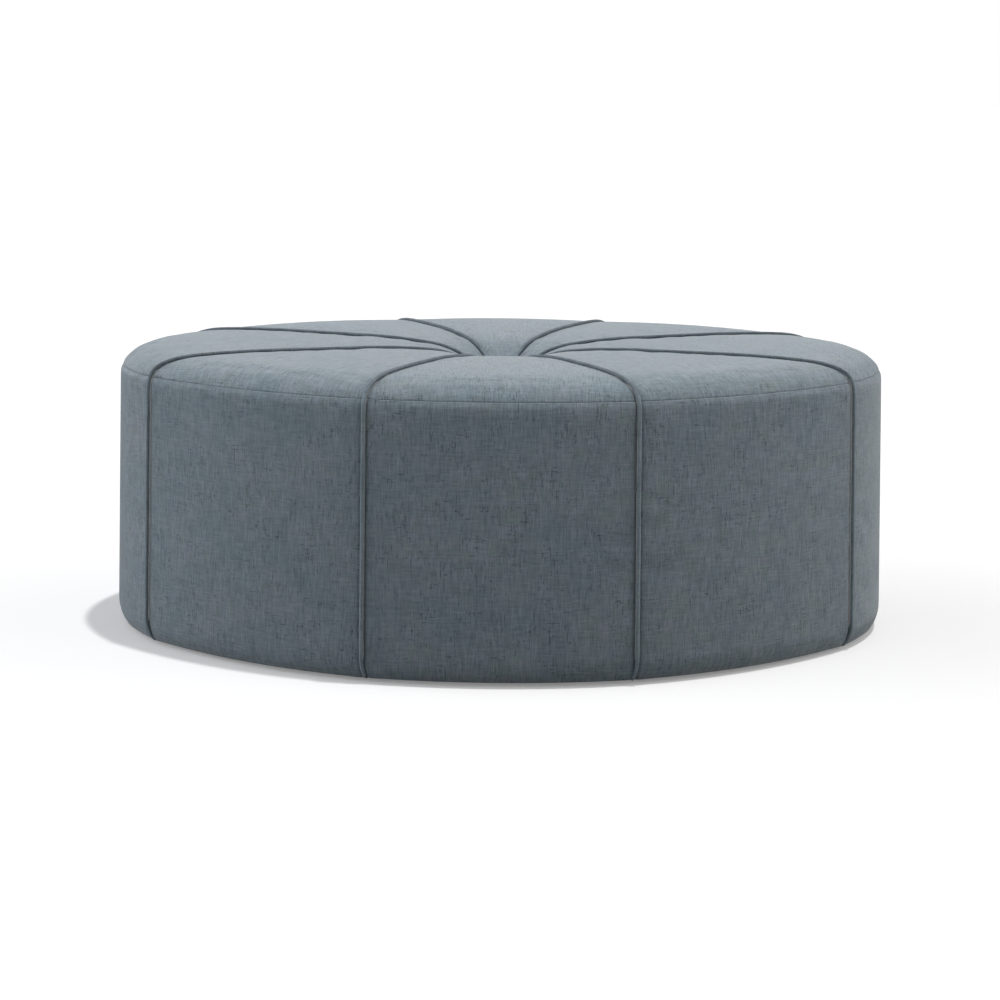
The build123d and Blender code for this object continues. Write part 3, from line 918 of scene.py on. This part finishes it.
twine_pale = (0.62, 0.54, 0.38)
twine_dark = (0.36, 0.29, 0.18)
twine_lay_pitch = 0.0016
twine_lay_slant = 1.5
wax_width = 0.002
wax_length = 0.006
twine_relief = 0.0003
twine = Finish("waxed_twine")
x, y, z = twine.object_place()
lay = (z + x * twine_lay_slant).ridges(twine_lay_pitch)
wax = twine.noise(x / wax_width, y / wax_width, z / wax_length, 3.0)
twine.colour(twine.mix(lay * 0.7 + wax * 0.3, twine_dark, twine_pale))
twine.roughness(0.85 - wax * 0.25)
twine.relief(lay, twine_relief)
twine.put_on("tuft_twine")

washer_brown = (0.20, 0.12, 0.06)
washer_black = (0.08, 0.05, 0.03)
press_width = 0.004
press_height = 0.001
press_relief = 0.0002
washer = Finish("pressed_board_washer")
x, y, z = washer.object_place()
press = washer.noise(x / press_width, y / press_width, z / press_height, 4.0, 0.6)
washer.colour(washer.mix(press.between(0.3, 0.7), washer_black, washer_brown))
washer.roughness(0.45 + press * 0.3)
washer.relief(press, press_relief)
washer.put_on("twine_washer")

# Dust cover: black spunbonded cloth stapled over the turned-under flaps.
# It is thermally bonded in a fine pattern of points, with the fibres lying between them.
dust_black = (0.020, 0.020, 0.022)
dust_grey = (0.055, 0.055, 0.060)
bond_pitch = 0.0022
hair_size = 0.0012
fibre_cloud = 0.03
bond_relief = 0.0003
dust_cloth = Finish("black_spunbond")
x, y, z = dust_cloth.object_place()
bonds = (x + y).ridges(bond_pitch) * (x - y).ridges(bond_pitch)
hairs = dust_cloth.noise(x / hair_size, y / hair_size, 0.0, 4.0, 0.6, 3.0)
clouds = dust_cloth.noise(x / fibre_cloud, y / fibre_cloud, 0.0, 3.0)
shade = hairs * 0.45 + clouds * 0.25 + bonds * 0.3
dust_cloth.colour(dust_cloth.mix(shade.between(0.25, 0.75), dust_black, dust_grey))
dust_cloth.roughness(0.95 - bonds * 0.3)
dust_cloth.relief(bonds * 0.6 + hairs * 0.4, bond_relief)
dust_cloth.put_on("dust_cover")

# Glides: eight black nylon discs, 28 mm across, nailed up into the base board.
# They are moulded with a fine spark texture, and rubbed smoother where they meet the floor.
nylon_black = (0.018, 0.018, 0.020)
nylon_rubbed = (0.07, 0.07, 0.072)
spark_size = 0.0005
scuff_length = 0.012
scuff_width = 0.0015
scuff_height = 0.004
rubbed_low = 0.0002
rubbed_high = 0.002
spark_relief = 0.00006
nylon = Finish("glide_nylon")
x, y, z = nylon.object_place()
spark = nylon.speckle(spark_size, 2.0)
scuffs = nylon.noise(x / scuff_length, y / scuff_width, z / scuff_height, 4.0, 0.6)
worn = scuffs.between(0.5, 0.7) * (1 - z.between(rubbed_low, rubbed_high))
nylon.colour(nylon.mix(worn, nylon_black, nylon_rubbed))
nylon.roughness(0.35 + spark * 0.2 - worn * 0.1)
nylon.relief(spark, spark_relief)
nylon.put_on("glides")

# Room: a white floor and a white backdrop, a small lamp nearly overhead, a broad soft one behind,
# and walls that light both sides. The camera stands in front, looking a little down.
camera_distance = 3.159
camera_height = 0.863
camera_pitch = 0.2096
camera_roll = 0.0093
camera_turn = 0.0026
photo_side = 1000
focal_pixels = 2002.1
sensor_side = 36.0

lens = bpy.data.cameras.new("camera")
lens.sensor_width = sensor_side
lens.lens = focal_pixels * sensor_side / photo_side
camera = placed("camera", lens)
stand = Matrix.Translation((0, -camera_distance, camera_height))
stand = Matrix.Rotation(-camera_turn, 4, "Z") @ stand
tilt = Matrix.Rotation(math.pi / 2 - camera_pitch, 4, "X") @ Matrix.Rotation(camera_roll, 4, "Z")
camera.matrix_world = stand @ tilt
scene.camera = camera

floor_reach = 60.0
floor_white = (0.880, 0.872, 0.866)
floor_bounce_near = (0.03, 0.03, 0.03)
floor_bounce_far = (0.25, 0.25, 0.25)
floor_glow = (0.195, 0.195, 0.195)
no_glow = (0.0, 0.0, 0.0)
bounce_ratio = 1.5
bounce_near = 0.4
bounce_far = 4.0
floor_mesh = bpy.data.meshes.new("floor")
floor_corners = [(-1, -1), (1, -1), (1, 1), (-1, 1)]
floor_mesh.from_pydata(
    [(x * floor_reach, y * floor_reach, 0) for x, y in floor_corners], [], [(0, 1, 2, 3)]
)
floor = placed("floor", floor_mesh)

# To the rays that light other things, the floor is dark round the ottoman and paler far off
floor_paint = Finish("studio_floor", roughness=1.0, emission_strength=1.0)
shown = floor_paint.shown()
x, y, z = floor_paint.object_place()
beyond = (x * x + y * y * bounce_ratio**2).between(bounce_near, bounce_far)
bounce = floor_paint.mix(beyond, floor_bounce_near, floor_bounce_far)
floor_paint.colour(floor_paint.mix(shown, bounce, floor_white))
floor_paint.feed(floor_paint.surface["Emission Color"], floor_paint.mix(shown, no_glow, floor_glow))
floor_mesh.materials.append(floor_paint.material)

key_strength = 1.46
key_spread = 2.2
key_turns = (0.3, 9.8, 0.0)
back_strength = 0.62
back_spread = 60.0
back_turns = (-45.0, 0.0, 0.0)


def sun(name, strength, spread, turns):
    """A lamp as far off as the sun, with its spread and its turns in degrees."""
    light = bpy.data.lights.new(name, "SUN")
    light.energy = strength
    light.angle = math.radians(spread)
    lamp = placed(name, light)
    lamp.rotation_euler = [math.radians(turn) for turn in turns]
    return lamp


sun("key_lamp", key_strength, key_spread, key_turns)

# The lamp behind is kept off the floor, as the photo's floor has no shade from it
unlit = bpy.data.collections.new("not_lit_from_behind")
unlit.objects.link(floor)
unlit.collection_objects[0].light_linking.link_state = "EXCLUDE"
back_lamp = sun("back_lamp", back_strength, back_spread, back_turns)
back_lamp.light_linking.receiver_collection = unlit

# The room's light: strong from both sides and most from the left, weak from above
side_light = 3.13
side_lean = -0.37
top_light = 0.16
fill_light = 0.012
left_light = 0.16
neutral_white = (1.0, 1.0, 1.0)
left_tint = (0.96, 1.0, 1.06)
world = bpy.data.worlds.new("room")
world.use_nodes = True
scene.world = world
room = Tree(world.node_tree)
across, _, up = room.axes(room.add("ShaderNodeTexCoord", output="Generated"))
sideways = across * across
sides = sideways * sideways * (across * side_lean + side_light)
leftward = (across * -1).at_least(0)
light = sides + up.at_least(0) * top_light + fill_light + leftward * left_light
shown = room.shown()
backdrop = world.node_tree.nodes["Background"].inputs
room.feed(backdrop["Strength"], light * (1 - shown) + shown)
room.feed(backdrop["Color"], room.mix(leftward * (1 - shown), neutral_white, left_tint))

scene.view_settings.view_transform = "Standard"
